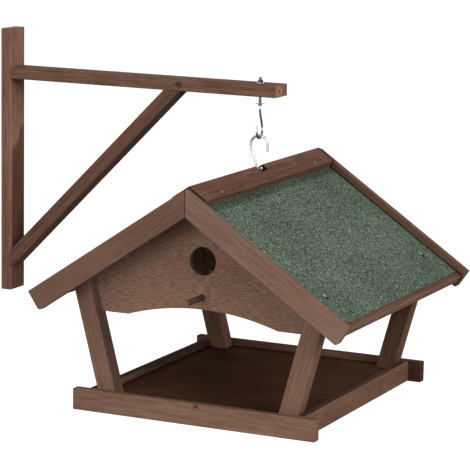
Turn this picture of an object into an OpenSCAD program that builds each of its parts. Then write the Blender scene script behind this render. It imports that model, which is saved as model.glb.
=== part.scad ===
// Hanging bird table with a felt roof, on a wooden wall bracket.
// The origin lies on the bracket's wall face, level with the underside of the arm.
// X points away from the wall along the arm, Y to the back of the bird table, Z up.

/* [Wall bracket] */
// Length of the upright that is fixed to the wall
batten_len = 422; // [390:1:560]
// Thickness of the upright, away from the wall
batten_t = 18; // [15:0.5:30]
// Width of the upright along the wall
batten_d = 44; // [36:0.5:50]
// Height of the upright above the arm's underside
batten_rise = 79.5; // [40:0.5:105]
// Distance from the wall to the arm's end
arm_reach = 480.5; // [440:0.5:560]
// Height of the arm
arm_h = 18.5; // [14:0.5:28]
// Width of the arm
arm_d = 44; // [36:0.5:56]
// Thickness of the brace, across its length
brace_t = 21; // [16:0.5:26]
// Width of the brace
brace_d = 34.5; // [28:0.5:40]
// Distance along the arm from the upright to the brace's upper edge
brace_reach = 272; // [220:1:290]
// Distance down the upright to the brace's upper edge
brace_drop = 276; // [220:1:290]
// Shank diameter of the bracket's screws
screw_d = 4; // [3:0.1:4.5]
// Length of the screws that hold the arm
arm_screw_len = 50; // [45:1:60]
// Length of the screws that hold the brace
brace_screw_len = 33; // [30:1:34]

/* [Ceiling hook] */
// Distance from the hook to the arm's end
hook_setback = 34.7; // [24:0.1:60]
// Diameter of the threaded rod
rod_d = 4.6; // [4:0.1:5]
// Length of thread that stands above the nut
rod_stub = 4.5; // [1:0.5:8]
// Width of the nut across its flats
nut_af = 8; // [7:0.1:10]
// Height of the nut
nut_h = 5; // [3:0.1:6]
// Diameter of the washer under the nut
washer_d = 10.5; // [9:0.5:18]
// Thickness of that washer
washer_t = 1; // [0.6:0.1:2]
// Height of the gap between the arm and the hook's flange
flange_drop = 11; // [6:0.5:18]
// Diameter of the flange
flange_d = 14.5; // [10:0.5:18]
// Thickness of the flange
flange_t = 1.2; // [0.8:0.1:3]
// Diameter of the collar on which the flange sits
collar_d = 5.6; // [5.3:0.1:8]
// Height of that collar
collar_h = 4; // [2:0.5:8]
// Wire diameter of the hook
hook_wire_d = 3.6; // [3:0.1:4.4]
// Radius of the hook's bend, at the middle of the wire
hook_bend_r = 9.5; // [8.2:0.1:12]
// Drop from the collar to the centre of the bend
hook_leg = 40; // [30:1:60]
// Length of the hook's free end above the bend's centre
hook_tip = 12; // [4:0.5:18]

/* [S hook] */
// Wire diameter of the S hook
s_wire_d = 4; // [3:0.1:4.4]
// Radius of its upper bend, at the middle of the wire
s_top_r = 14.2; // [12:0.1:18]
// Radius of its lower bend, at the middle of the wire
s_low_r = 4.2; // [4:0.1:5]
// Distance between the centres of its two bends
s_span = 36.4; // [30:0.1:60]
// Length of the straight end beyond the upper bend
s_tip = 10; // [2:0.5:14]
// Angle by which the lower bend runs on past level
s_curl = 25; // [5:1:40]

/* [Screw eye] */
// Wire diameter of the eye
eye_wire_d = 3; // [2.4:0.1:3.4]
// Radius of the eye, at the middle of the wire
eye_r = 6.5; // [6:0.1:8]
// Length of the shank between the eye and the ridge beam
eye_neck = 9.5; // [8:0.5:16]
// Length of the shank inside the ridge beam
eye_bite = 20; // [12:0.5:24]
// Diameter of the shank
eye_shank_d = 3.6; // [3:0.1:4.4]
// Distance of the eye behind the middle of the ridge
eye_offset = 5; // [0:0.5:8]

/* [Roof] */
// Height of the barge boards' apex above the bottom of the tray
house_h = 357.5; // [340:0.5:420]
// Pitch of both slopes in degrees
pitch = 34; // [30:0.5:38]
// Length of each barge board's upper edge
slope_len = 314.5; // [300:0.5:340]
// Depth of the roof over its barge boards
roof_d = 493.5; // [480:0.5:540]
// Width of the barge boards, across the slope
barge_h = 34; // [30:0.5:44]
// Thickness of the barge boards
barge_t = 12; // [9:0.5:16]
// Radius of the barge boards' lower corners
barge_r = 5; // [2:0.5:10]
// Height by which the barge boards stand above the felt
barge_lip = 10; // [4:0.5:11]
// Thickness of the roofing felt
felt_t = 2.5; // [1.5:0.1:4]
// Gap between the felt's lower edge and the eave boards
felt_set = 0.5; // [0.2:0.1:2]
// Thickness of the roof boards
sheet_t = 9; // [8:0.5:14]
// Width of the ridge cap's two boards
cap_w = 34; // [30:0.5:50]
// Thickness of the ridge cap's boards
cap_t = 12.5; // [9:0.5:16]
// Gap between the ridge cap and the barge boards
cap_gap = 1.5; // [0.5:0.5:4]
// Length of the cap's notch round the screw eye
notch_len = 25; // [22:0.5:40]
// Depth of that notch down each slope
notch_u = 11; // [10:0.5:16]
// Height of the eave boards
eave_h = 14.5; // [12:0.5:24]
// Thickness of the eave boards
eave_t = 10; // [8:0.5:16]
// Distance from the barge boards' ends back to the eave boards
eave_set = 3; // [1:0.5:6]
// Width of the ridge beam
beam_w = 28; // [20:0.5:40]
// Height of the ridge beam
beam_h = 34; // [28:0.5:44]

/* [Gables] */
// Thickness of the gable panels
gable_t = 9; // [6:0.5:14]
// Height of the panels' lower ends above the bottom of the tray
gable_z = 150; // [140:1:160]
// Width of the arch in the lower edge
arch_w = 246; // [180:1:300]
// Height of that arch
arch_h = 19.5; // [8:0.5:24]
// Diameter of the entrance hole
hole_d = 43; // [26:0.5:50]
// Height of the hole's centre above the bottom of the tray
hole_z = 242; // [232:1:250]
// Diameter of the perch
perch_d = 9; // [6:0.5:13]
// Length of the perch in front of the panel
perch_out = 54; // [30:1:70]
// Height of the perch above the bottom of the tray
perch_z = 188; // [182:1:195]

/* [Posts] */
// Width of the corner posts, across their lean
post_w = 29; // [22:0.5:36]
// Depth of the corner posts
post_d = 28; // [22:0.5:36]
// Lean of the corner posts in degrees
lean = 15; // [8:0.5:16]
// Gap between each post and the side rail's upper edge
foot_gap = 0.3; // [0.1:0.1:8]

/* [Tray] */
// Length of the front and back rails
tray_w = 400; // [380:1:430]
// Depth of the tray over its front and back rails
tray_d = 431; // [410:1:445]
// Height of the rails
rail_h = 34; // [28:0.5:44]
// Thickness of the rails
rail_t = 12; // [8:0.5:16]
// Radius of the front and back rails' two rounded corners
rail_r = 3; // [2:0.5:10]
// Length by which those rails pass the side rails
rail_over = 22.5; // [12:0.5:40]
// Height of the floor's top above the bottom of the tray
floor_top = 24; // [18:0.5:27]
// Thickness of the floor board
floor_t = 10; // [6:0.5:15]

/* [Edges and fits] */
// Radius of the eased edges on posts and bracket
ease = 2; // [0.5:0.1:4]
// Radius of the eased edges on the thin boards
board_ease = 1.5; // [0.3:0.1:3]
// Running gap between the links that hang in each other
link_gap = 0.3; // [0.2:0.05:0.5]
// Radial clearance of the rod in the arm
rod_fit = 0.08; // [0.04:0.01:0.1]
// Radial clearance round nails, screws and the perch
nail_fit = 0.05; // [0.02:0.01:0.1]

/* [Nails and screws] */
// Shank diameter of the roof nails
nail_d = 2.2; // [1.6:0.1:3]
// Diameter of the roof nails' heads
nail_head_d = 6; // [4:0.1:8]
// Height of the roof nails' heads
nail_head_t = 0.8; // [0.5:0.1:1.5]
// Distance from the ridge cap's ends to its nails
cap_nail_set = 64; // [40:1:90]
// Depth of the ridge cap's nails in the roof boards
cap_nail_bite = 6; // [3:0.5:7]
// Depth of the other roof nails in the posts
post_nail_bite = 18; // [12:0.5:20]
// Shank diameter of the brads
brad_d = 1.6; // [1:0.1:2.2]
// Depth of each brad in the second of its two boards
brad_bite = 18; // [12:0.5:24]
// Length of the screws under the posts
post_screw_len = 35; // [30:1:42]

/* [Hidden] */
$fn = 48;

wood = "#6f564a";
wood_dark = "#5b443a";
felt_green = "#586c5c";
zinc = "#b9bcc0";

// larger than anything here, for cutting
big = 900;
sides = [-1, 1];

// bracket: the front faces of upright, arm and brace are flush
front_y = -batten_d / 2;
hook_x = arm_reach - hook_setback;
hook_y = front_y + arm_d / 2;
brace_angle = atan(brace_drop / brace_reach);
brace_mid_x = batten_t + brace_reach / 2;
brace_screw_drop = brace_drop + brace_t / cos(brace_angle) / 4;
brace_screw_x = batten_t + brace_reach + brace_t / sin(brace_angle) / 4;

// levels of the hanging links, from the arm's underside down
flange_top_z = -flange_drop;
collar_top_z = flange_top_z - flange_t;
leg_top_z = collar_top_z - collar_h;
bend_z = leg_top_z - hook_leg;
hook_low_z = bend_z - hook_bend_r;
s_top_z = hook_low_z + hook_wire_d / 2 + link_gap + s_wire_d / 2;
s_arc_z = s_top_z - s_top_r;
s_curl_z = s_arc_z - s_span;
s_low_z = s_curl_z - s_low_r;
eye_top_z = s_low_z + s_wire_d / 2 + link_gap + eye_wire_d / 2;
eye_z = eye_top_z - eye_r;
beam_top_z = eye_z - eye_r - eye_wire_d / 2 - eye_neck;

// roof layers, measured square to the slope from the barge boards' upper edges
felt_v = -barge_lip;
board_v = felt_v - felt_t;
under_v = board_v - sheet_t;
cap_v = felt_v + cap_t;
beam_apex = house_h + under_v / cos(pitch);
feeder_z = beam_top_z - beam_apex;
barge_in = roof_d / 2 - barge_t;
cap_end = barge_in - cap_gap;
cap_u = cap_w - cap_v * tan(pitch);
eave_u = slope_len - eave_set;
board_u = eave_u - eave_t;
slot_len = 2 * eye_r + eye_wire_d + 3;
slot_w = eye_wire_d + 4;

// tray and posts
rail_in = tray_d / 2 - rail_t;
side_out = tray_w / 2 - rail_over;
side_in = side_out - rail_t;
foot_x = side_in - foot_gap - (rail_h - floor_top) * tan(lean);
post_in = rail_in - post_d;
post_y = post_in + post_d / 2;
gable_y = post_in + gable_t / 2;
half_post = post_w / 2 / cos(lean);

// X of a post's middle at a height above the tray's bottom
function post_x(z) = foot_x - half_post + (z - floor_top) * tan(lean);

// height at which a post's line, that far outside its middle, meets a slope whose apex is at top
function meet_z(top, out) = (top - (post_x(0) + out) * tan(pitch)) / (1 + tan(lean) * tan(pitch));

// places of nails and brads: along the ridge, down the slope and up the posts
cap_nail_u = cap_u - 7.5;
cap_nail_y = cap_end - cap_nail_set;
post_nail_z = meet_z(house_h + felt_v / cos(pitch), 0);
post_nail_u = post_x(post_nail_z) / cos(pitch) - felt_v * tan(pitch);
board_mid_v = board_v - sheet_t / 2;
barge_brad_u = [0.12 * slope_len, 0.5 * slope_len, 0.88 * slope_len];
eave_brad_y = [-0.8 * barge_in, 0, 0.8 * barge_in];
gable_brad_z = [gable_z + 8, meet_z(beam_apex, half_post) - 10];
rail_brad_z = [rail_h / 4, rail_h * 3 / 4];
floor_brad_z = floor_top - floor_t / 2;
brad_head_d = 1.6 * brad_d;
brad_head_t = brad_d / 2;

// what rounding with radius r takes from a corner at the origin
module corner_waste(r) {
    difference() {
        translate([-1, -1]) square(r + 1);
        translate([r, r]) circle(r);
    }
}

// a rectangle whose corners are rounded: lower left, lower right, upper right, upper left
module outline(w, h, r) {
    corners = [[0, 0], [1, 0], [1, 1], [0, 1]];
    difference() {
        square([w, h]);
        for (k = [0:3])
            if (r[k] > 0)
                translate([corners[k].x * w, corners[k].y * h])
                    mirror([corners[k].x, 0]) mirror([0, corners[k].y]) corner_waste(r[k]);
    }
}

// a bar along X or along Y with eased long edges
module bar_x(len, d, h, r) {
    rotate([90, 0, 90]) linear_extrude(len) outline(d, h, [r, r, r, r]);
}

module bar_y(len, w, h, r) {
    translate([0, len, 0]) rotate([90, 0, 0]) linear_extrude(len) outline(w, h, [r, r, r, r]);
}

// a nail along -Z from the top of its flat head; grow widens it to its own hole, which opens
// past the face that the head is level with
module nail(d, len, head_d, head_t, grow = 0) {
    open = grow > 0 ? 1 : 0;
    translate([0, 0, -len]) cylinder(d = d + 2 * grow, h = len);
    translate([0, 0, -head_t]) cylinder(d = head_d + 2 * grow, h = head_t + open);
}

// a brad through a board of thickness t into the next one
module brad(t, grow = 0) {
    nail(brad_d, t + brad_bite, brad_head_d, brad_head_t, grow);
}

// a countersunk screw along -Z, its head flush at the origin
module screw(len, grow = 0) {
    r = screw_d / 2 + grow;
    translate([0, 0, -len]) cylinder(r = r, h = len);
    translate([0, 0, -screw_d / 2]) cylinder(r1 = r, r2 = r + screw_d / 2, h = screw_d / 2);
}

// a bend of round wire in the XZ plane, from angle a over sweep degrees
module wire_arc(r, d, a, sweep) {
    rotate([90, 0, 0]) rotate([0, 0, a]) rotate_extrude(angle = sweep) translate([r, 0]) circle(d = d);
}

// a double bend from the origin down by fall and over by shift, with a ball where its two bends meet
module wire_jog(shift, fall, d) {
    half = 2 * atan(shift / fall);
    r = fall / (2 * sin(half));
    translate([r, 0, 0]) wire_arc(r, d, 180, half);
    translate([shift - r, 0, -fall]) wire_arc(r, d, 0, half);
    translate([shift / 2, 0, -fall / 2]) sphere(d = 1.02 * d);
}

// the bird table's own frame: the origin is at the middle of the tray's bottom
module in_house() {
    translate([hook_x, hook_y - eye_offset, feeder_z]) children();
}

module on_side(side) {
    in_house() mirror([side < 0 ? 1 : 0, 0, 0]) children();
}

// the frame of one slope: X down the slope, Z square to it, from the barge boards' apex
module on_slope(side) {
    on_side(side) translate([0, 0, house_h]) rotate([0, pitch, 0]) children();
}

// an outline in X and Z drawn along Y
module along_y(y_from, y_to) {
    translate([0, y_to, 0]) rotate([90, 0, 0]) linear_extrude(y_to - y_from) children();
}

// a layer of the roof between two heights, mitred on the ridge, its upper end corner rounded by r
module slope_layer(side, v_low, v_high, u_end, y_half, r = 0) {
    on_slope(side) along_y(-y_half, y_half) difference() {
        polygon([[-v_high * tan(pitch), v_high], [u_end, v_high],
                 [u_end, v_low], [-v_low * tan(pitch), v_low]]);
        if (r > 0) translate([u_end, v_high]) mirror([1, 0]) mirror([0, 1]) corner_waste(r);
    }
}

module arm_screw_places() {
    for (s = sides) translate([0, hook_y + s * arm_d / 5, arm_h / 2]) rotate([0, -90, 0]) children();
}

// one screw through the upright and one through the arm, into the brace's two ends
module brace_screw_places() {
    translate([0, front_y + brace_d / 2, -brace_screw_drop]) rotate([0, -90, 0]) children();
    translate([brace_screw_x, front_y + brace_d / 2, arm_h]) children();
}

module wall_batten() {
    color(wood) difference() {
        translate([0, front_y, batten_rise - batten_len])
            linear_extrude(batten_len) outline(batten_t, batten_d, [ease, ease, ease, ease]);
        arm_screw_places() screw(arm_screw_len, nail_fit);
        brace_screw_places() screw(brace_screw_len, nail_fit);
    }
}

module bracket_arm() {
    color(wood) difference() {
        translate([batten_t, front_y, 0]) bar_x(arm_reach - batten_t, arm_d, arm_h, ease);
        translate([hook_x, hook_y, -1]) cylinder(r = rod_d / 2 + rod_fit, h = arm_h + 2);
        arm_screw_places() screw(arm_screw_len, nail_fit);
        brace_screw_places() screw(brace_screw_len, nail_fit);
    }
}

// the slanting bar is cut plumb at the upright and level under the arm
module brace() {
    color(wood) difference() {
        intersection() {
            translate([brace_mid_x, front_y, -brace_drop / 2]) rotate([0, -brace_angle, 0])
                translate([-big / 2, 0, -brace_t]) bar_x(big, brace_d, brace_t, ease);
            translate([batten_t, front_y - 1, -big]) cube([big, brace_d + 2, big]);
        }
        brace_screw_places() screw(brace_screw_len, nail_fit);
    }
}

module bracket_screws() {
    color(zinc) {
        arm_screw_places() screw(arm_screw_len);
        brace_screw_places() screw(brace_screw_len);
    }
}

// the threaded rod and its hook in the YZ plane, which carries the load in line with the rod
module ceiling_hook() {
    color(zinc) translate([hook_x, hook_y, 0]) {
        translate([0, 0, collar_top_z])
            cylinder(d = rod_d, h = arm_h + washer_t + nut_h + rod_stub - collar_top_z);
        translate([0, 0, leg_top_z]) cylinder(d = collar_d, h = collar_h);
        rotate([0, 0, 90]) {
            translate([0, 0, leg_top_z]) wire_jog(hook_bend_r, hook_leg, hook_wire_d);
            translate([0, 0, bend_z]) wire_arc(hook_bend_r, hook_wire_d, 180, 180);
            translate([-hook_bend_r, 0, bend_z]) cylinder(d = hook_wire_d, h = hook_tip);
        }
    }
}

// a disc with a hole for the rod
module rod_disc(d, h, z, facets = 48) {
    color(zinc) translate([hook_x, hook_y, z]) difference() {
        cylinder(d = d, h = h, $fn = facets);
        translate([0, 0, -1]) cylinder(r = rod_d / 2 + nail_fit, h = h + 2);
    }
}

// the open link: a wide bend over the ceiling hook, a jogged leg and a small bend through the eye
module s_hook() {
    color(zinc) translate([hook_x, hook_y, 0]) {
        translate([0, 0, s_arc_z]) wire_arc(s_top_r, s_wire_d, 0, 180);
        translate([s_top_r, 0, s_arc_z - s_tip]) cylinder(d = s_wire_d, h = s_tip);
        translate([-s_top_r, 0, s_arc_z]) wire_jog(s_top_r - s_low_r, s_span, s_wire_d);
        translate([0, 0, s_curl_z]) wire_arc(s_low_r, s_wire_d, 180, 180 + s_curl);
    }
}

// the eye's ring stands in the YZ plane in the cap's notch
module screw_eye() {
    color(zinc) translate([hook_x, hook_y, 0]) {
        translate([0, 0, eye_z]) rotate([0, 90, 0])
            rotate_extrude() translate([eye_r, 0]) circle(d = eye_wire_d);
        translate([0, 0, beam_top_z - eye_bite])
            cylinder(d = eye_shank_d, h = eye_bite + eye_neck + eye_wire_d / 2);
    }
}

module ridge_beam() {
    side_z = beam_apex - beam_w / 2 * tan(pitch);
    color(wood_dark) difference() {
        in_house() along_y(-post_in, post_in)
            polygon([[-beam_w / 2, beam_apex - beam_h], [beam_w / 2, beam_apex - beam_h],
                     [beam_w / 2, side_z], [0, beam_apex], [-beam_w / 2, side_z]]);
        translate([hook_x, hook_y, beam_top_z - eye_bite])
            cylinder(r = eye_shank_d / 2 + nail_fit, h = eye_bite + 1);
    }
}

// the slot for the screw eye through felt and roof boards
module eye_slot() {
    translate([hook_x - slot_w / 2, hook_y - slot_len / 2, beam_top_z - slot_w])
        cube([slot_w, slot_len, big]);
}

module cap_nail_places(side) {
    for (s = sides) on_slope(side) translate([cap_nail_u, s * cap_nail_y, cap_v + nail_head_t]) children();
}

module cap_nail(grow = 0) {
    nail(nail_d, nail_head_t + cap_t + felt_t + cap_nail_bite, nail_head_d, nail_head_t, grow);
}

// nails through felt and roof board into the tops of the posts
module post_nail_places(side) {
    for (s = sides) on_slope(side) translate([post_nail_u, s * post_y, felt_v + nail_head_t]) children();
}

module post_nail(grow = 0) {
    nail(nail_d, nail_head_t + felt_t + sheet_t + post_nail_bite, nail_head_d, nail_head_t, grow);
}

// brads through the barge boards into the ends of the roof boards
module barge_brad_places(side, end) {
    for (u = barge_brad_u)
        on_slope(side) translate([u, end * roof_d / 2, board_mid_v]) rotate([-90 * end, 0, 0]) children();
}

module eave_brad_places(side) {
    for (y = eave_brad_y) on_slope(side) translate([eave_u, y, board_mid_v]) rotate([0, 90, 0]) children();
}

module roof_board(side) {
    color(wood_dark) difference() {
        slope_layer(side, under_v, board_v, board_u, barge_in);
        eye_slot();
        cap_nail_places(side) cap_nail(nail_fit);
        post_nail_places(side) post_nail(nail_fit);
        for (end = sides) barge_brad_places(side, end) brad(barge_t, nail_fit);
        eave_brad_places(side) brad(eave_t, nail_fit);
    }
}

module roof_felt(side) {
    color(felt_green) difference() {
        slope_layer(side, board_v, felt_v, board_u - felt_set, barge_in);
        eye_slot();
        cap_nail_places(side) cap_nail(nail_fit);
        post_nail_places(side) post_nail(nail_fit);
    }
}

module ridge_cap(side) {
    color(wood) difference() {
        slope_layer(side, felt_v, cap_v, cap_u, cap_end, board_ease);
        on_slope(side) translate([-notch_u, eye_offset - notch_len / 2, felt_v - 1])
            cube([2 * notch_u, notch_len, cap_t + notch_u]);
        cap_nail_places(side) cap_nail(nail_fit);
    }
}

// a barge board: an eased bar down the slope, mitred at the ridge, its lower end corner rounded
module barge(side, end) {
    y_from = end > 0 ? barge_in : -roof_d / 2;
    color(wood) difference() {
        on_slope(side) translate([-barge_h, y_from, -barge_h])
            bar_x(slope_len + barge_h, barge_t, barge_h, board_ease);
        on_side(side) translate([-big, -big / 2, 0]) cube([big, big, big]);
        on_slope(side) translate([slope_len, 0, -barge_h])
            along_y(-big / 2, big / 2) mirror([1, 0]) corner_waste(barge_r);
        barge_brad_places(side, end) brad(barge_t, nail_fit);
    }
}

// the eave board stands on the edge of the roof board, level with the felt on top
module eave_board(side) {
    color(wood) difference() {
        on_slope(side) translate([board_u, -barge_in, felt_v - eave_h])
            along_y(0, 2 * barge_in) outline(eave_t, eave_h, [board_ease, board_ease, board_ease, 0]);
        eave_brad_places(side) brad(eave_t, nail_fit);
    }
}

module gable_shape() {
    arch_r = (arch_w * arch_w / 4 + arch_h * arch_h) / (2 * arch_h);
    low_x = post_x(gable_z) - half_post;
    top_z = meet_z(beam_apex, -half_post);
    top_x = post_x(top_z) - half_post;
    difference() {
        polygon([[-low_x, gable_z], [low_x, gable_z], [top_x, top_z], [0, beam_apex], [-top_x, top_z]]);
        translate([0, gable_z + arch_h - arch_r]) circle(arch_r, $fn = 360);
    }
}

// brads through the posts' outer faces into the edges of the gable panels
module gable_brad_places(side, end) {
    for (z = gable_brad_z)
        on_side(side) translate([post_x(z) + half_post, end * gable_y, z])
            rotate([0, 90 + lean, 0]) children();
}

module gable(end) {
    color(wood) difference() {
        in_house() along_y(end * gable_y - gable_t / 2, end * gable_y + gable_t / 2) gable_shape();
        if (end < 0) in_house() along_y(-gable_y - gable_t, -gable_y + gable_t) {
            translate([0, hole_z]) circle(d = hole_d);
            translate([0, perch_z]) circle(r = perch_d / 2 + nail_fit);
        }
        for (side = sides) gable_brad_places(side, end) brad(post_w, nail_fit);
    }
}

module perch() {
    color(wood) in_house() along_y(-post_in - gable_t - perch_out, -post_in)
        translate([0, perch_z]) circle(d = perch_d);
}

module post_screw_place(side, end) {
    on_side(side) translate([post_x(floor_top), end * post_y, floor_top - floor_t])
        rotate([180, 0, 0]) children();
}

// a leaning post, level at the tray floor and cut to the slope under the roof board
module post(side, end) {
    color(wood) difference() {
        intersection() {
            on_side(side) translate([post_x(floor_top), end * post_y, floor_top])
                rotate([0, lean, 0]) translate([-post_w / 2, -post_d / 2, -post_w])
                    linear_extrude(house_h) outline(post_w, post_d, [ease, ease, ease, ease]);
            on_side(side) along_y(-big / 2, big / 2)
                polygon([[0, floor_top], [big, floor_top],
                         [big, beam_apex - big * tan(pitch)], [0, beam_apex]]);
        }
        post_screw_place(side, end) screw(post_screw_len, nail_fit);
        gable_brad_places(side, end) brad(post_w, nail_fit);
        post_nail_places(side) post_nail(nail_fit);
    }
}

// brads through the long rails into the side rails, and through all four rails into the floor
module tray_brad_places() {
    for (side = sides, end = sides, z = rail_brad_z)
        in_house() translate([side * (side_in + rail_t / 2), end * tray_d / 2, z])
            rotate([-90 * end, 0, 0]) children();
    for (side = sides, end = sides)
        in_house() translate([side * side_in / 2, end * tray_d / 2, floor_brad_z])
            rotate([-90 * end, 0, 0]) children();
    for (side = sides, end = sides)
        in_house() translate([side * side_out, end * rail_in / 2, floor_brad_z])
            rotate([0, 90 * side, 0]) children();
}

module tray_floor() {
    color(wood_dark) difference() {
        in_house() translate([-side_in, -rail_in, floor_top - floor_t])
            cube([2 * side_in, 2 * rail_in, floor_t]);
        for (side = sides, end = sides) post_screw_place(side, end) screw(post_screw_len, nail_fit);
        tray_brad_places() brad(rail_t, nail_fit);
    }
}

// the long rails have two rounded corners, at the upper left and the lower right
module long_rail(end) {
    y_from = end > 0 ? rail_in : -tray_d / 2;
    color(wood) difference() {
        intersection() {
            in_house() translate([-tray_w / 2, y_from, 0]) bar_x(tray_w, rail_t, rail_h, board_ease);
            in_house() translate([-tray_w / 2, 0, 0]) along_y(-big / 2, big / 2)
                outline(tray_w, rail_h, [0, rail_r, 0, rail_r]);
        }
        tray_brad_places() brad(rail_t, nail_fit);
    }
}

module side_rail(side) {
    x_from = side > 0 ? side_in : -side_out;
    color(wood) difference() {
        in_house() translate([x_from, -rail_in, 0]) bar_y(2 * rail_in, rail_t, rail_h, board_ease);
        tray_brad_places() brad(rail_t, nail_fit);
    }
}

module cap_nails() { color(zinc) for (s = sides) cap_nail_places(s) cap_nail(); }
module roof_nails() { color(zinc) for (s = sides) post_nail_places(s) post_nail(); }
module barge_brads() { color(zinc) for (s = sides, e = sides) barge_brad_places(s, e) brad(barge_t); }
module eave_brads() { color(zinc) for (s = sides) eave_brad_places(s) brad(eave_t); }
module gable_brads() { color(zinc) for (s = sides, e = sides) gable_brad_places(s, e) brad(post_w); }
module post_screws() { color(zinc) for (s = sides, e = sides) post_screw_place(s, e) screw(post_screw_len); }
module tray_brads() { color(zinc) tray_brad_places() brad(rail_t); }

wall_batten();
bracket_arm();
brace();
bracket_screws();
ceiling_hook();
rod_disc(nut_af / cos(30), nut_h, arm_h + washer_t, 6);  // hook_nut
rod_disc(washer_d, washer_t, arm_h);  // hook_washer
rod_disc(flange_d, flange_t, collar_top_z);  // hook_flange
s_hook();
screw_eye();
ridge_beam();
ridge_cap(-1);  // ridge_cap_left
ridge_cap(1);  // ridge_cap_right
cap_nails();
roof_board(-1);  // roof_board_left
roof_board(1);  // roof_board_right
roof_felt(-1);  // roof_felt_left
roof_felt(1);  // roof_felt_right
roof_nails();
barge(-1, -1);  // barge_front_left
barge(1, -1);  // barge_front_right
barge(-1, 1);  // barge_back_left
barge(1, 1);  // barge_back_right
barge_brads();
eave_board(-1);  // eave_board_left
eave_board(1);  // eave_board_right
eave_brads();
gable(-1);  // gable_front
gable(1);  // gable_back
gable_brads();
perch();
post(-1, -1);  // post_front_left
post(1, -1);  // post_front_right
post(-1, 1);  // post_back_left
post(1, 1);  // post_back_right
post_screws();
tray_floor();
long_rail(-1);  // front_rail
long_rail(1);  // back_rail
side_rail(-1);  // left_rail
side_rail(1);  // right_rail
tray_brads();
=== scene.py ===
import math

import bpy
from mathutils import Matrix, Vector

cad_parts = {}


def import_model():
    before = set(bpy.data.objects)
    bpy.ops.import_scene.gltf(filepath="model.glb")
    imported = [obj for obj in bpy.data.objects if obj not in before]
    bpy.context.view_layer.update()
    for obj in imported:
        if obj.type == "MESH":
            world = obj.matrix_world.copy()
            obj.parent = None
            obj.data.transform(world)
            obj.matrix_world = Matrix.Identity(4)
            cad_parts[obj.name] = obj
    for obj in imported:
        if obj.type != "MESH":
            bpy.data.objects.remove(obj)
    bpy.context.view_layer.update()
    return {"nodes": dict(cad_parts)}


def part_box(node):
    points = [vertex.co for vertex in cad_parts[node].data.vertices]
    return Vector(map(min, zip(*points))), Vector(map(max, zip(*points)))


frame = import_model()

# Lengths are in metres, as in the frame. Values in millimetres are multiplied by MM.

MM = 0.001

# The roof's slope, the posts' lean, and the brace, which drops 276 mm over a reach of 272 mm

PITCH = math.radians(34.0)
LEAN = math.radians(15.0)
BRACE = math.atan2(276.0, 272.0)

# The right side and the left side

SIDES = ((1, "right"), (-1, "left"))

UP = Vector((0.0, 0.0, 1.0))
ALONG_X = Vector((1.0, 0.0, 0.0))
ALONG_Y = Vector((0.0, 1.0, 0.0))
FRONT = Vector((0.0, -1.0, 0.0))
RIGHT = ALONG_X

# The camera that was fitted to the board edges in the photograph. Its angles are in degrees.

PHOTO_WIDTH = 470.0
FOCAL_PIXELS = 2403.32
SENSOR_WIDTH_MM = 36.0
CAMERA_PLACE = (1.977888, -3.303994, 0.440014)
CAMERA_AZIMUTH = 25.423471
CAMERA_ELEVATION = 10.222947
CAMERA_ROLL = 0.981817
CLIP_END = 200.0

# Screen colours, 0 to 255, of stained softwood, felt and steel

WOOD = dict(light=(146, 114, 94), mid=(122, 93, 77), dark=(90, 64, 50))
# INNER is darker stained wood for the tray floor, and its darkness is in part painted shade from the
# roof over it
INNER = dict(light=(84, 61, 46), mid=(66, 46, 33), dark=(50, 33, 23))
KNOT = (58, 36, 27)
# The next three colours are painted shade and shadow: in joints, in the notch, and beside the roof
# nails
SEAM_SHADOW = (34, 22, 16)
UNLIT_WOOD = (24, 15, 11)
NAIL_SHADOW = (26, 32, 27)
GREEN_CAST = (78, 104, 88)
PALE_GRANULE = (170, 176, 158)
BARE_FELT = (30, 36, 31)
# Painted reflections on the ceiling hook's tip, dark and bright
HOOK_TIP_DARK_REFLECTION = (84, 90, 94)
HOOK_TIP_BRIGHT_REFLECTION = (196, 196, 196)

# The felt's tones, from its darkest granules to its palest

FELT_TONES = ((0.12, (30, 38, 32)), (0.34, (74, 90, 76)), (0.54, (112, 128, 110)),
              (0.72, (156, 166, 148)), (0.90, (206, 210, 194)))

# Painted reflections along the ceiling hook, bright and dark lengths: a height in millimetres, and
# the tone there

HOOK_REFLECTIONS = ((-68.0, (84, 90, 94)), (-55.6, (84, 90, 94)), (-54.5, (206, 210, 212)),
              (-50.5, (206, 210, 212)), (-49.4, (86, 100, 103)), (-21.5, (92, 106, 109)),
              (-20.0, (224, 220, 220)), (-16.2, (214, 214, 216)), (-15.6, (92, 94, 98)),
              (-12.0, (92, 94, 98)), (-10.5, (178, 186, 192)), (0.0, (178, 186, 192)))

# How dark a growth ring is along its width: pale early wood, then the dark late wood

RING_TONES = ((0.0, 0.25), (0.62, 0.55), (0.86, 1.0), (1.0, 0.25))

# Noise in the wood, in cycles per metre along the grain and across it

RING_WANDER = (2.6, 7.0)
BROAD_DRIFT = (3.5, 60.0)
WARM_DRIFT = (5.0, 24.0)
BLOTCHES = (9.0, 16.0)
STREAKS = (26.0, 540.0)
FINE_FIBRES = (70.0, 1500.0)

# Width of the darkened band on a board's edges, depth of its grain, and how far a knot bends the
# rings

EDGE_DARKENING = 1.3 * MM
GRAIN_DEPTH = 0.22 * MM
KNOT_PULL = 2.6

# Granules of the felt, in cells per metre, and how far they stand out

SMALL_GRANULES = 1300.0
LARGE_GRANULES = 760.0
GRANULE_DEPTH = 0.5 * MM


def middle(node):
    """The middle of a CAD node's box."""
    low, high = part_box(node)
    return tuple((a + b) / 2.0 for a, b in zip(low, high))


def ends_along_y(node):
    """A CAD node's front end and back end."""
    low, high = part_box(node)
    return low[1], high[1]


# The ridge line, which the hook hangs over, and the table's middle from front to back

RIDGE_X, TABLE_Y = middle("tray_floor")[:2]


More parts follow.
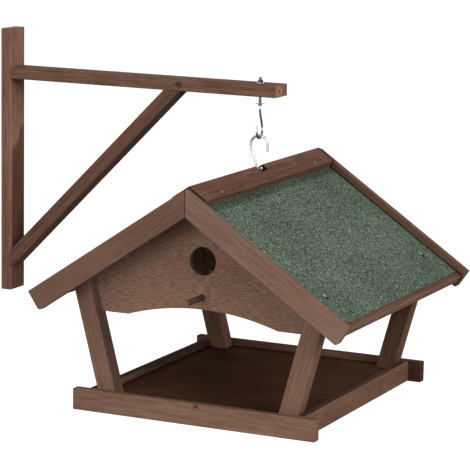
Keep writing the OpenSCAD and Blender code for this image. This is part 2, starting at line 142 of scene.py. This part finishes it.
def srgb(r, g, b):
    """A colour as it looks on a screen, 0 to 255, as linear RGBA."""
    def lin(v):
        v /= 255.0
        return v / 12.92 if v <= 0.04045 else ((v + 0.055) / 1.055) ** 2.4
    return (lin(r), lin(g), lin(b), 1.0)


def grey(value):
    """A linear grey as RGBA."""
    return (value, value, value, 1.0)


def camera():
    """The scene's camera, at the photograph's viewing angle."""
    data = bpy.data.cameras.new("camera")
    data.sensor_width = SENSOR_WIDTH_MM
    data.lens = FOCAL_PIXELS / PHOTO_WIDTH * SENSOR_WIDTH_MM
    data.clip_end = CLIP_END
    cam = bpy.data.objects.new("camera", data)
    bpy.context.scene.collection.objects.link(cam)
    turn = Matrix.Rotation(math.radians(CAMERA_AZIMUTH), 4, "Z")
    tilt = Matrix.Rotation(math.radians(90.0 - CAMERA_ELEVATION), 4, "X")
    roll = Matrix.Rotation(math.radians(CAMERA_ROLL), 4, "Z")
    cam.matrix_world = Matrix.Translation(CAMERA_PLACE) @ turn @ tilt @ roll
    bpy.context.scene.camera = cam


camera()


# Wiring of a material's nodes

class Wires:
    """One material, and short names for the nodes that it is wired from."""

    def __init__(self, name):
        self.mat = bpy.data.materials.new(name)
        self.mat.use_nodes = True
        self.tree = self.mat.node_tree
        self.tree.nodes.clear()
        out = self.tree.nodes.new("ShaderNodeOutputMaterial")
        self.bsdf = self.tree.nodes.new("ShaderNodeBsdfPrincipled")
        self.tree.links.new(self.bsdf.outputs[0], out.inputs[0])

    def put(self, socket, value):
        """A link where value is an output, and a constant otherwise."""
        if isinstance(value, bpy.types.NodeSocket):
            self.tree.links.new(value, socket)
        else:
            socket.default_value = value

    def surface(self, colour, roughness, height, depth, strength):
        """Wires the shader's colour and roughness, and a bump of the given depth."""
        self.put(self.bsdf.inputs["Base Color"], colour)
        self.put(self.bsdf.inputs["Roughness"], roughness)
        node = self.tree.nodes.new("ShaderNodeBump")
        node.inputs["Distance"].default_value = depth
        node.inputs["Strength"].default_value = strength
        self.put(node.inputs["Height"], height)
        self.put(self.bsdf.inputs["Normal"], node.outputs[0])
        return self.mat

    def math(self, op, a, b=None, c=None):
        node = self.tree.nodes.new("ShaderNodeMath")
        node.operation = op
        for socket, value in zip(node.inputs, (a, b, c)):
            if value is not None:
                self.put(socket, value)
        return node.outputs[0]

    def times(self, a, b):
        return self.math("MULTIPLY", a, b)

    def sway(self, noise, amount, base):
        """The base value plus noise about its middle, 0.5, times amount."""
        return self.math("MULTIPLY_ADD", self.math("SUBTRACT", noise, 0.5), amount, base)

    def vec(self, op, a, b=None):
        node = self.tree.nodes.new("ShaderNodeVectorMath")
        node.operation = op
        self.put(node.inputs[0], a)
        if b is not None:
            self.put(node.inputs[1], b)
        return node.outputs["Value" if op in ("LENGTH", "DOT_PRODUCT") else "Vector"]

    def scaled(self, vector, *factors):
        """The vector times one number, or times one for each axis."""
        return self.vec("MULTIPLY", vector, factors if len(factors) == 3 else factors * 3)

    def xyz(self, vector):
        """The three parts of a vector."""
        node = self.tree.nodes.new("ShaderNodeSeparateXYZ")
        self.put(node.inputs[0], vector)
        return node.outputs

    def join(self, x, y, z):
        """A vector from its three parts."""
        node = self.tree.nodes.new("ShaderNodeCombineXYZ")
        for socket, value in zip(node.inputs, (x, y, z)):
            self.put(socket, value)
        return node.outputs[0]

    def noise(self, vector, detail=2.0, rough=0.5, bend=0.0):
        node = self.tree.nodes.new("ShaderNodeTexNoise")
        self.put(node.inputs["Vector"], vector)
        node.inputs["Scale"].default_value = 1.0
        node.inputs["Detail"].default_value = detail
        node.inputs["Roughness"].default_value = rough
        node.inputs["Distortion"].default_value = bend
        return node.outputs["Fac"]

    def grained(self, vector, rate, detail=2.0, rough=0.5, bend=0.0):
        """Noise on a board's own axes, with one rate along the grain and one across it."""
        along, across = rate
        return self.noise(self.scaled(vector, along, across, across), detail, rough, bend)

    def cells(self, vector):
        node = self.tree.nodes.new("ShaderNodeTexVoronoi")
        self.put(node.inputs["Vector"], vector)
        node.inputs["Scale"].default_value = 1.0
        return node.outputs

    def span(self, value, low, high, to_low=0.0, to_high=1.0, smooth=True):
        """to_low where value is low, to_high where it is high, and a fade between."""
        node = self.tree.nodes.new("ShaderNodeMapRange")
        node.interpolation_type = "SMOOTHSTEP" if smooth else "LINEAR"
        for name, v in (("Value", value), ("From Min", low), ("From Max", high),
                        ("To Min", to_low), ("To Max", to_high)):
            self.put(node.inputs[name], v)
        return node.outputs["Result"]

    def ramp(self, value, *stops):
        node = self.tree.nodes.new("ShaderNodeValToRGB")
        self.put(node.inputs[0], value)
        marks = node.color_ramp.elements
        while len(marks) < len(stops):
            marks.new(1.0)
        for mark, (place, colour) in zip(marks, stops):
            mark.position = place
            mark.color = colour
        return node.outputs[0]

    def mix(self, share, a, b, blend="MIX"):
        node = self.tree.nodes.new("ShaderNodeMix")
        node.data_type = "RGBA"
        node.blend_type = blend
        self.put(node.inputs["Factor"], share)
        for socket, value in ((node.inputs[6], a), (node.inputs[7], b)):
            self.put(socket, value)
        return node.outputs[2]

    def tint(self, share, colour, factors):
        """The colour, with its red, green and blue times the factors where share is 1."""
        return self.mix(share, colour, self.mix(1.0, colour, (*factors, 1.0), "MULTIPLY"))

    def point(self):
        """The point in the part's own frame."""
        return self.tree.nodes.new("ShaderNodeTexCoord").outputs["Object"]

    def normal(self):
        """The direction out of the surface, in the part's own frame."""
        return self.tree.nodes.new("ShaderNodeTexCoord").outputs["Normal"]

    def facing(self, way, low=0.62, high=0.78):
        """1 on faces that look the given way, and 0 on those that look elsewhere."""
        return self.span(self.vec("DOT_PRODUCT", self.normal(), tuple(way)), low, high)

    def local(self, centre, turn):
        """The point as seen from a board's own axes: x runs with the grain, z out of its face."""
        node = self.tree.nodes.new("ShaderNodeMapping")
        node.vector_type = "TEXTURE"
        self.put(node.inputs["Vector"], self.point())
        node.inputs["Location"].default_value = centre
        node.inputs["Rotation"].default_value = turn.to_euler()
        return node.outputs[0]

    def arris(self, width):
        """1 on an edge and 0 away from it."""
        node = self.tree.nodes.new("ShaderNodeBevel")
        node.samples = 4
        node.inputs["Radius"].default_value = width
        flat = self.tree.nodes.new("ShaderNodeNewGeometry")
        dot = self.vec("DOT_PRODUCT", node.outputs[0], flat.outputs["Normal"])
        return self.span(dot, 0.995, 0.86)


# Stained softwood

def axes(grain, face):
    """The turn that puts x along the grain and z as near to the face's normal as it goes."""
    x = grain.normalized()
    y = face.cross(x).normalized()
    return Matrix((x, y, x.cross(y))).transposed()


def rings(w, local, seed, spacing):
    """How many growth rings lie between the point and the tree's heart, beside the board."""
    aside = (28.0 + 11.0 * math.sin(seed * 2.3)) * MM
    depth = (46.0 + 14.0 * math.cos(seed * 1.7)) * MM
    if int(seed) % 2:
        aside = -aside
    wander = w.grained(w.vec("ADD", local, (seed, 0.0, 0.0)), RING_WANDER)
    y, z = w.xyz(local)[1:3]
    from_heart = w.join(0.0, w.math("ADD", y, aside), w.math("ADD", z, depth))
    radius = w.math("MULTIPLY_ADD", wander, 16.0 * MM, w.vec("LENGTH", from_heart))
    return w.math("DIVIDE", radius, spacing)


def knot_field(w, local, knots):
    """How near the point is to a knot (1 at its heart), and how far it pulls the rings along."""
    near, pull = 0.0, 0.0
    for x, y, z, size in knots:
        away = w.vec("LENGTH", w.scaled(w.vec("SUBTRACT", local, (x, y, z)), 0.62, 1.0, 0.35))
        near = w.math("MAXIMUM", near, w.span(away, size, 0.35 * size))
        pull = w.math("ADD", pull, w.span(away, 4.2 * size, 0.0))
    return near, pull


def ring_turn(w, local, seed, spacing, knots):
    """Where in a growth ring the point is, 0 to 1, and how near it is to a knot."""
    near, pull = knot_field(w, local, knots)
    turned = rings(w, local, seed, spacing)
    if knots:
        turned = w.math("MULTIPLY_ADD", pull, KNOT_PULL, turned)
    return w.math("FRACT", turned), near


def fibres(w, shift, tight, short):
    """Coarse and fine lines along the grain. tight packs the coarse ones, short cuts them up."""
    along, across = STREAKS
    streak = w.grained(shift, (along * tight * short, across * tight), 3.0, 0.65)
    return streak, w.grained(shift, FINE_FIBRES, 2.0, 0.6)


def stain(w, shift, band, streak, fibre, tones, bands, fine):
    """The stain's colour on ring bands and fibres, with broad and blotchy drifts of tone."""
    broad = w.grained(shift, BROAD_DRIFT, 3.0, 0.55, 0.3)
    blotch = w.grained(shift, BLOTCHES)
    tone = w.math("MULTIPLY_ADD", band, -0.22 * bands, 0.50 + 0.10 * bands)
    for noise, amount in ((broad, 0.70 * bands), (streak, 1.70 * fine), (fibre, 0.42 * fine),
                          (blotch, 0.55)):
        tone = w.sway(noise, amount, tone)
    colour = w.ramp(tone, (0.0, srgb(*tones["dark"])), (0.5, srgb(*tones["mid"])),
                    (1.0, srgb(*tones["light"])))
    warm = w.span(w.grained(shift, WARM_DRIFT, 1.0), 0.42, 0.72, 0.0, 0.35)
    return w.mix(warm, colour, (1.0, 0.80, 0.72, 1.0), "MULTIPLY")


def end_grain(w, colour, turned, along, tones):
    """The rings on a sawn end, paler than the board's faces."""
    across = w.math("ABSOLUTE", w.vec("DOT_PRODUCT", w.normal(), along))
    mid, dark = srgb(*tones["mid"]), srgb(*tones["dark"])
    cut = w.mix(0.55, colour, w.ramp(turned, (0.0, mid), (0.8, dark), (1.0, mid)))
    cut = w.mix(1.0, cut, (1.55, 1.55, 1.60, 1.0), "MULTIPLY")
    return w.mix(w.span(across, 0.80, 0.97), colour, cut)


def tinted_and_lit(w, colour, shade, right, front, top):
    """The colour with the board's own tint, partly its own tone and partly painted light, and with
    painted light and shade that makes its faces that look right, to the front or up lighter or
    darker."""
    colour = w.mix(1.0, colour, (*shade, 1.0), "MULTIPLY")
    for way, factor in ((RIGHT, right), (FRONT, front), (UP, top)):
        if factor != 1.0:
            colour = w.tint(w.facing(way), colour, (factor, factor, factor))
    return colour


def seam_shadows(w, colour, seams):
    """Painted shade along joints and gaps. A seam is an axis, the place along it, the line's half
    width and its depth.
    """
    for axis, place, half, depth in seams:
        away = w.math("ABSOLUTE", w.math("SUBTRACT", w.xyz(w.point())[axis], place))
        near = w.span(away, 1.4 * half, 0.4 * half, 0.0, depth)
        colour = w.mix(near, colour, srgb(*SEAM_SHADOW))
    return colour


def timber(name, centre, grain, face, tones=WOOD, seed=1.0, spacing=3.6, bands=1.0, fine=1.0,
           tight=1.0, short=1.0, knots=(), gloss=0.012, shade=(1.0, 1.0, 1.0), right=1.0,
           front=1.0, top=1.0, seams=(), extra=None):
    """Stained, planed softwood. spacing is from ring to ring in mm. bands and fine say how much
    rings and fibres show, and tight and short how the coarse fibres lie. shade tints the board,
    partly for its own tone and partly as painted light. right, front and top make its faces that look
    that way lighter or darker, as painted light and shade. seams are lines of painted shade. extra
    adds what only this board has."""
    w = Wires(name)
    turn = axes(grain, face)
    local = w.local(centre, turn)
    shift = w.vec("ADD", local, (seed * 0.37, seed * 0.11, seed * 0.23))
    turned, near = ring_turn(w, local, seed, spacing * MM, knots)
    band = w.ramp(turned, *[(at, grey(dark)) for at, dark in RING_TONES])
    streak, fibre = fibres(w, shift, tight, short)
    colour = stain(w, shift, band, streak, fibre, tones, bands, fine)
    colour = end_grain(w, colour, turned, tuple(turn.col[0]), tones)
    if knots:
        colour = w.mix(w.times(near, 0.72), colour, srgb(*KNOT))
    edge = w.times(w.arris(EDGE_DARKENING), w.span(streak, 0.36, 0.62, 0.62, 0.10))
    colour = w.mix(edge, colour, srgb(*tones["dark"]))
    colour = seam_shadows(w, tinted_and_lit(w, colour, shade, right, front, top), seams)
    if extra:
        colour = extra(w, colour)
    w.bsdf.inputs["Specular IOR Level"].default_value = gloss
    roughness = w.span(streak, 0.3, 0.7, 0.72, 0.90, smooth=False)
    height = w.math("MULTIPLY_ADD", band, -0.35, w.math("ADD", streak, fibre))
    return w.surface(colour, roughness, height, GRAIN_DEPTH, 0.55)


# Roofing felt with green mineral granules

def nail_shadows(w, colour, side):
    """Painted shadow on the felt just right of the two nails that hold one slope to its posts."""
    from_ridge, from_middle, height, beside = 198.0 * MM, 189.5 * MM, -257.2 * MM, 2.2 * MM
    for end in (-1, 1):
        shadow_at = (RIDGE_X + side * from_ridge + beside, TABLE_Y + end * from_middle, height)
        away = w.vec("LENGTH", w.vec("SUBTRACT", w.point(), shadow_at))
        colour = w.mix(w.span(away, 6.8 * MM, 4.6 * MM, 0.0, 0.88), colour, srgb(*NAIL_SHADOW))
    return colour


def granules(w, small, large, place):
    """The granules' colour: each cell has its own tone and cast, and a few are pale or missing."""
    pick, tone_of, hue = w.xyz(large["Color"])[:3]
    clump = w.noise(w.scaled(place, 260.0), 2.0, 0.6)
    drift = w.noise(w.scaled(place, 9.0, 7.0, 9.0), 3.0, 0.55)
    tone = w.math("MULTIPLY_ADD", small, 0.42, w.times(tone_of, 0.34))
    tone = w.sway(drift, 0.30, w.sway(clump, 1.0, tone))
    colour = w.ramp(tone, *[(at, srgb(*felt)) for at, felt in FELT_TONES])
    colour = w.mix(w.span(hue, 0.55, 0.95, 0.0, 0.40), colour, srgb(*GREEN_CAST))
    colour = w.mix(w.span(pick, 0.975, 0.985), colour, srgb(*PALE_GRANULE))
    return w.mix(w.span(pick, 0.030, 0.018), colour, srgb(*BARE_FELT))


def roofing(name, seed, seams, side):
    """Bitumen felt with small and large granules, lines of painted shade, and a painted shadow beside
    each nail.
    """
    w = Wires(name)
    place = w.vec("ADD", w.point(), (seed, seed * 0.5, 0.0))
    cells = w.cells(w.scaled(place, SMALL_GRANULES))
    small = w.xyz(cells["Color"])[0]
    colour = granules(w, small, w.cells(w.scaled(place, LARGE_GRANULES)), place)
    colour = nail_shadows(w, seam_shadows(w, colour, seams), side)
    w.bsdf.inputs["Specular IOR Level"].default_value = 0.12
    roughness = w.span(small, 0.0, 1.0, 0.74, 0.95, smooth=False)
    height = w.math("SUBTRACT", small, w.times(cells["Distance"], 0.9))
    return w.surface(colour, roughness, height, GRANULE_DEPTH, 0.8)


# Zinc-plated steel

def thread(w, colour, marks, pitch):
    """The colour and height of the rod's thread, which ends at the flange. Its grooves carry painted
    shade, darker above the arm than under it."""
    end, arm_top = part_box("hook_flange")[1][2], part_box("bracket_arm")[1][2]
    z = w.xyz(w.point())[2]
    wave = w.math("PINGPONG", w.math("DIVIDE", z, pitch), 0.5)
    plain = w.span(z, end + 1.0 * MM, end - 0.5 * MM)
    wave = w.math("MAXIMUM", w.span(wave, 0.08, 0.42), plain)
    groove_shade = w.span(z, 0.0, arm_top, 0.72, 0.42)
    dark = w.mix(1.0, colour, w.join(groove_shade, groove_shade, groove_shade), "MULTIPLY")
    return w.mix(wave, dark, colour), w.math("MULTIPLY_ADD", marks, 0.05, wave)


def zinc(name, seed, tone=(196, 200, 203), rough=0.26, pitch=None, extra=None):
    """Bright zinc plate: fine drawing marks, a faint cloud, and a thread where pitch is given."""
    w = Wires(name)
    w.bsdf.inputs["Metallic"].default_value = 1.0
    place = w.vec("ADD", w.point(), (seed, 0.0, 0.0))
    cloud = w.noise(w.scaled(place, 240.0), 3.0, 0.6)
    height = w.noise(w.scaled(place, 2600.0), 2.0, 0.6)
    colour = w.ramp(cloud, (0.30, srgb(*[0.80 * c for c in tone])), (0.55, srgb(*tone)),
                    (0.75, srgb(*[min(255, 1.10 * c) for c in tone])))
    if extra:
        colour = extra(w, colour)
    depth, strength = 0.02 * MM, 0.2
    if pitch:
        colour, height = thread(w, colour, height, pitch)
        depth, strength = 0.35 * MM, 0.6
    roughness = w.span(cloud, 0.3, 0.7, rough, rough + 0.16, smooth=False)
    return w.surface(colour, roughness, height, depth, strength)


# What only one piece has

def right_face_dark_patch(w, colour):
    """The upright's right face, darker below a slanting and wavy line. It is weaker at the foot and
    leaves out a strip along the front edge."""
    rise, waviness, level = 1.1, 50.0 * MM, -125.0 * MM
    y, z = w.xyz(w.point())[1:3]
    wave = w.noise(w.scaled(w.point(), 10.0, 60.0, 14.0))
    line = w.math("MULTIPLY_ADD", y, rise, w.math("MULTIPLY_ADD", wave, waviness, level))
    below = w.span(w.math("SUBTRACT", z, line), 12.0 * MM, -12.0 * MM)
    below = w.times(below, w.span(z, -350.0 * MM, -262.0 * MM, 0.62, 1.0))
    behind = w.span(y, -19.0 * MM, -13.0 * MM)
    share = w.times(w.times(w.facing(RIGHT, 0.5, 0.8), below), behind)
    return w.tint(share, colour, (0.44, 0.40, 0.38))


def shaded_notch(w, colour):
    """Painted shade in the notch that the screw eye stands in."""
    half_width, half_length = 8.0 * MM, 12.9 * MM
    x, y = w.xyz(w.point())[:2]
    from_ridge = w.math("ABSOLUTE", w.math("SUBTRACT", x, RIDGE_X))
    across = w.span(from_ridge, half_width + 0.6 * MM, half_width - 0.6 * MM)
    along = w.span(w.math("ABSOLUTE", y), half_length + 0.5 * MM, half_length - 0.5 * MM)
    return w.mix(w.times(w.times(across, along), 0.92), colour, srgb(*UNLIT_WOOD))


def heart_rings(w, colour):
    """The tree's heart on the arm's sawn end: a dark core in a pale ring, darker behind."""
    heart_y, heart_z, squeeze = -6.6 * MM, 9.2 * MM, 0.62
    y, z = w.xyz(w.point())[1:3]
    end = w.facing(RIGHT, 0.7, 0.9)
    aside = w.times(w.math("SUBTRACT", y, heart_y), squeeze)
    away = w.vec("LENGTH", w.join(aside, w.math("SUBTRACT", z, heart_z), 0.0))
    pale = w.times(w.span(away, 2.4 * MM, 3.8 * MM), w.span(away, 7.2 * MM, 5.6 * MM))
    core = w.span(away, 3.0 * MM, 1.8 * MM)
    behind = w.span(y, 3.0 * MM, 16.0 * MM)
    for share, factors in ((pale, (1.38, 1.42, 1.44)), (core, (0.80, 0.66, 0.60)),
                           (behind, (0.74, 0.76, 0.78))):
        colour = w.tint(w.times(share, end), colour, factors)
    return colour


def rail_shadow(w, colour):
    """The back rail's end, with painted shadow on its front face on the stretch beyond the right
    rail.
    """
    x = w.xyz(w.point())[0]
    start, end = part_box("right_rail")[1][0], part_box("back_rail")[1][0]
    past = w.span(x, start - 0.5 * MM, start + 0.5 * MM)
    before = w.span(x, end - 0.6 * MM, end - 2.0 * MM)
    share = w.times(w.times(past, before), w.facing(FRONT, 0.3, 0.7))
    return w.tint(share, colour, (0.50, 0.46, 0.45))


def hook_reflections(w, colour):
    """Painted reflections on the ceiling hook's plating: bright and dark lengths from its bend up to
    the rod, and on its tip.
    """
    y, z = w.xyz(w.point())[1:3]
    low = -70.0
    height = w.span(z, low * MM, 0.0, smooth=False)
    leg = w.ramp(height, *[(1.0 - at / low, srgb(*tone)) for at, tone in HOOK_REFLECTIONS])
    tip = w.ramp(w.span(z, -57.5 * MM, -54.5 * MM), (0.0, srgb(*HOOK_TIP_DARK_REFLECTION)),
                 (1.0, srgb(*HOOK_TIP_BRIGHT_REFLECTION)))
    on_tip = w.times(w.span(y, -3.0 * MM, -5.0 * MM), w.span(z, -40.0 * MM, -42.0 * MM))
    return w.mix(w.span(z, 0.0, -0.2 * MM), colour, w.mix(on_tip, leg, tip))


def painted(w, colour):
    """Steel under a coat of stain, which doesn't shine."""
    w.bsdf.inputs["Metallic"].default_value = 0.0
    w.bsdf.inputs["Specular IOR Level"].default_value = 0.0
    return colour


# Which finish each CAD node takes

# In the boards below, right, front and top are painted light and shade on the faces that look that
# way, and shade is partly each board's own tone and partly painted light
def paint(node, material):
    """Gives a CAD node its material."""
    thing = frame["nodes"][node]
    if not thing.material_slots:
        thing.data.materials.append(material)
    for slot in thing.material_slots:
        slot.material = material


def board(node, grain, face, **look):
    """A CAD board in timber whose grain runs along the given direction."""
    paint(node, timber("timber_" + node, middle(node), grain, face, **look))


def metal(node, seed, **look):
    """A CAD node in zinc-plated steel."""
    paint(node, zinc("zinc_" + node, seed, **look))


def paint_bracket():
    board("wall_batten", UP, FRONT, seed=1.0, spacing=4.4, shade=(0.97, 0.92, 0.95),
          right=1.40, front=0.89, extra=right_face_dark_patch)
    arm_knot = (68.0 * MM, 1.0 * MM, 22.0 * MM, 6.0 * MM)
    board("bracket_arm", ALONG_X, FRONT, seed=2.0, spacing=3.4, shade=(0.76, 0.75, 0.75),
          top=0.88, right=1.46, knots=(arm_knot,), extra=heart_rings)
    up_brace = Vector((math.cos(BRACE), 0.0, math.sin(BRACE)))
    board("brace", up_brace, FRONT, seed=3.0, spacing=3.8, right=1.1, shade=(0.62, 0.59, 0.61))


def slope(side):
    """The direction down a roof slope, and the direction out of it."""
    down = Vector((side * math.cos(PITCH), 0.0, -math.sin(PITCH)))
    out = Vector((side * math.sin(PITCH), 0.0, math.cos(PITCH)))
    return down, out


def paint_barges(side, word, down):
    """The barge boards at the front and back end of one slope, mitred on the ridge line."""
    # The mitre gets a line of painted shade in its joint
    mitre = ((0, RIDGE_X, 1.0 * MM, 0.75),)
    front_shade = (0.96, 1.04, 1.15) if side == 1 else (0.77, 0.77, 0.81)
    board("barge_front_" + word, down, FRONT, seed=4.0 + side, spacing=3.6, shade=front_shade,
          bands=0.5, fine=0.55, seams=mitre)
    board("barge_back_" + word, down, -FRONT, seed=8.0 + side, spacing=3.9,
          shade=(0.86, 0.84, 0.85), front=0.66, seams=mitre)


def paint_cap_and_eave(side, word, down, out):
    """The cap board and eave board of one slope, with painted shade where they meet the barge boards.
    """
    cap_front, cap_back = ends_along_y("ridge_cap_" + word)
    barge_face = ends_along_y("roof_felt_" + word)[0]
    back = (1, cap_back, 5.0 * MM, 0.92)
    board("eave_board_" + word, ALONG_Y, down, seed=16.0 + side, spacing=3.3, top=0.62,
          right=1.2, seams=((1, cap_front, 4.4 * MM, 0.85), back))
    board("ridge_cap_" + word, ALONG_Y, out, seed=20.0 + side, spacing=4.2,
          shade=(0.76, 0.70, 0.73), front=0.45, right=1.15, extra=shaded_notch,
          seams=((1, barge_face + 0.4 * MM, 1.4 * MM, 0.95), back))


def paint_felt(side, word):
    """The felt of one slope, with painted shade along the barge boards and a painted shadow beside
    the cap.
    """
    front, back = ends_along_y("roof_felt_" + word)
    beside_cap = RIDGE_X + side * 27.0 * MM
    seams = ((1, front, 3.0 * MM, 0.80), (1, back, 5.4 * MM, 0.92),
             (1, back - 3.0 * MM, 3.6 * MM, 0.92), (0, beside_cap, 6.5 * MM, 0.45))
    paint("roof_felt_" + word, roofing("felt_" + word, 3.0 + side, seams, side))


def paint_roof():
    for side, word in SIDES:
        down, out = slope(side)
        paint_barges(side, word, down)
        board("roof_board_" + word, ALONG_Y, out, seed=12.0 + side, spacing=4.8,
              shade=(0.8, 0.8, 0.8))
        paint_cap_and_eave(side, word, down, out)
        paint_felt(side, word)
    # The ridge beam is darkened as painted shade inside the roof and under the notch
    board("ridge_beam", ALONG_Y, UP, seed=23.0, shade=(0.20, 0.17, 0.15))


def paint_gables():
    for word, face, front in (("front", FRONT, 1.0), ("back", -FRONT, 0.72)):
        board("gable_" + word, ALONG_X, face, seed=30.0 + len(word), spacing=5.2, bands=0.25,
              fine=1.5, tight=1.7, short=2.0, shade=(1.00, 1.05, 1.13), front=front)
    # The perch is darkened as painted shade, and its front end lightened as painted light
    board("perch", ALONG_Y, UP, seed=47.0, shade=(0.52, 0.51, 0.52), front=1.35)


def paint_posts():
    # looks holds painted light and shade: the back posts' fronts are darker, and the right faces
    # lighter or darker
    looks = dict(front_right=dict(shade=(0.88, 0.92, 0.98), right=1.42),
                 front_left=dict(shade=(0.79, 0.84, 0.92), right=0.72),
                 back_right=dict(shade=(0.84, 0.81, 0.79), front=0.56),
                 back_left=dict(shade=(1.05, 1.0, 0.98), front=0.70, right=1.86))
    for side, word in SIDES:
        up_post = Vector((side * math.sin(LEAN), 0.0, math.cos(LEAN)))
        board("post_front_" + word, up_post, FRONT, seed=40.0 + side, spacing=3.7, fine=0.8,
              **looks["front_" + word])
        board("post_back_" + word, up_post, -FRONT, seed=44.0 + side, spacing=3.5,
              **looks["back_" + word])


def paint_tray():
    board("tray_floor", ALONG_X, UP, seed=50.0, spacing=5.5, tones=INNER, gloss=0.0, bands=0.3,
          fine=0.28, shade=(1.15, 1.19, 1.24))
    rail_knot = (7.0 * MM, 13.0 * MM, 6.0 * MM, 4.0 * MM)
    # The rails' top, right and front factors are painted light and shade: their tops lie in the
    # roof's shade
    board("front_rail", ALONG_X, FRONT, seed=51.0, spacing=3.4, shade=(0.96, 0.99, 1.02),
          bands=0.7, fine=0.75, top=0.75, right=0.92, knots=(rail_knot,))
    board("back_rail", ALONG_X, -FRONT, seed=52.0, spacing=3.8, shade=(0.82, 0.77, 0.73),
          top=0.5, right=0.34, front=0.85, extra=rail_shadow)
    board("right_rail", ALONG_Y, RIGHT, seed=53.0, spacing=3.5, fine=0.85, top=0.34)
    board("left_rail", ALONG_Y, -RIGHT, seed=54.0, spacing=3.9, top=0.10, right=1.06)


def paint_steel():
    metal("ceiling_hook", 1.0, tone=(146, 156, 160), pitch=0.8 * MM, extra=hook_reflections)
    metal("hook_nut", 2.0, tone=(84, 86, 88), rough=0.34)
    metal("hook_washer", 3.0)
    metal("hook_flange", 4.0, tone=(142, 146, 148), rough=0.34)
    metal("s_hook", 5.0, tone=(180, 183, 185), rough=0.28)
    metal("screw_eye", 6.0, tone=(158, 161, 163), rough=0.30)
    metal("bracket_screws", 10.0, tone=(96, 74, 64), rough=0.84, extra=painted)
    metal("roof_nails", 11.0, tone=(178, 178, 168), rough=0.4)
    metal("post_screws", 12.0, tone=(84, 74, 64), rough=0.5)
    metal("cap_nails", 14.0, tone=(134, 108, 82), rough=0.5)


def paint_brads():
    """The brads' heads are stained over with the boards, so they take the timber's look."""
    for node in ("barge_brads", "eave_brads", "gable_brads", "tray_brads"):
        board(node, ALONG_X, FRONT, shade=(0.8, 0.8, 0.8))


paint_bracket()
paint_roof()
paint_gables()
paint_posts()
paint_tray()
paint_steel()
paint_brads()


# Floor, world and lamps

def seen_ray(tree):
    """1 for rays that show the background: camera, glossy and transmission rays."""
    path = tree.nodes.new("ShaderNodeLightPath")
    seen = path.outputs["Is Camera Ray"]
    for name in ("Is Glossy Ray", "Is Transmission Ray"):
        node = tree.nodes.new("ShaderNodeMath")
        node.operation = "MAXIMUM"
        tree.links.new(seen, node.inputs[0])
        tree.links.new(path.outputs[name], node.inputs[1])
        seen = node.outputs[0]
    return seen


def world():
    """Even light from all round, white where it is seen."""
    light_strength, seen_strength = 0.46, 1.0
    sky = bpy.data.worlds.new("world")
    bpy.context.scene.world = sky
    sky.use_nodes = True
    tree = sky.node_tree
    tree.nodes.clear()
    out = tree.nodes.new("ShaderNodeOutputWorld")
    mix = tree.nodes.new("ShaderNodeMixShader")
    for socket, strength in ((mix.inputs[1], light_strength), (mix.inputs[2], seen_strength)):
        light = tree.nodes.new("ShaderNodeBackground")
        light.inputs["Color"].default_value = grey(1.0)
        light.inputs["Strength"].default_value = strength
        tree.links.new(light.outputs[0], socket)
    tree.links.new(seen_ray(tree), mix.inputs[0])
    tree.links.new(mix.outputs[0], out.inputs[0])


def floor_material():
    """Pale and matt, and lit so that it looks white where it is seen."""
    mat = bpy.data.materials.new("floor")
    mat.use_nodes = True
    tree = mat.node_tree
    tree.nodes.clear()
    out = tree.nodes.new("ShaderNodeOutputMaterial")
    both = tree.nodes.new("ShaderNodeAddShader")
    matt = tree.nodes.new("ShaderNodeBsdfDiffuse")
    matt.inputs["Color"].default_value = (0.30, 0.29, 0.28, 1.0)
    glow = tree.nodes.new("ShaderNodeEmission")
    lift = tree.nodes.new("ShaderNodeMath")
    lift.operation = "MULTIPLY"
    lift.inputs[1].default_value = 0.95
    tree.links.new(seen_ray(tree), lift.inputs[0])
    tree.links.new(lift.outputs[0], glow.inputs["Strength"])
    tree.links.new(matt.outputs[0], both.inputs[0])
    tree.links.new(glow.outputs[0], both.inputs[1])
    tree.links.new(both.outputs[0], out.inputs[0])
    return mat


def floor():
    """A plain pale floor well below the hanging table."""
    half, level = 40.0, -1.3
    corners = [(x, y, level) for x, y in ((-half, -half), (half, -half), (half, half), (-half, half))]
    mesh = bpy.data.meshes.new("floor")
    mesh.from_pydata(corners, [], [(0, 1, 2, 3)])
    mesh.materials.append(floor_material())
    thing = bpy.data.objects.new("floor", mesh)
    bpy.context.scene.collection.objects.link(thing)


def lamp(name, place, aim, size, power):
    """A soft square lamp that faces the point aim."""
    data = bpy.data.lights.new(name, "AREA")
    data.shape = "SQUARE"
    data.size = size
    data.energy = power
    thing = bpy.data.objects.new(name, data)
    bpy.context.scene.collection.objects.link(thing)
    place, aim = Vector(place), Vector(aim)
    turn = (aim - place).to_track_quat("-Z", "Y").to_matrix().to_4x4()
    thing.matrix_world = Matrix.Translation(place) @ turn


def lamps():
    """A large soft lamp in front, a little higher than the camera, and two more at the right
    and behind."""
    heart = (0.40, 0.0, -0.25)
    lamp("lamp_front", (0.1, -4.1, 0.8), heart, 2.2, 87.0)
    lamp("lamp_right", (3.6, -1.8, 1.6), heart, 1.6, 87.0)
    lamp("lamp_back", (-1.9, 3.4, 1.5), heart, 2.0, 62.0)


world()
floor()
lamps()

view = bpy.context.scene.view_settings
view.view_transform = "Standard"
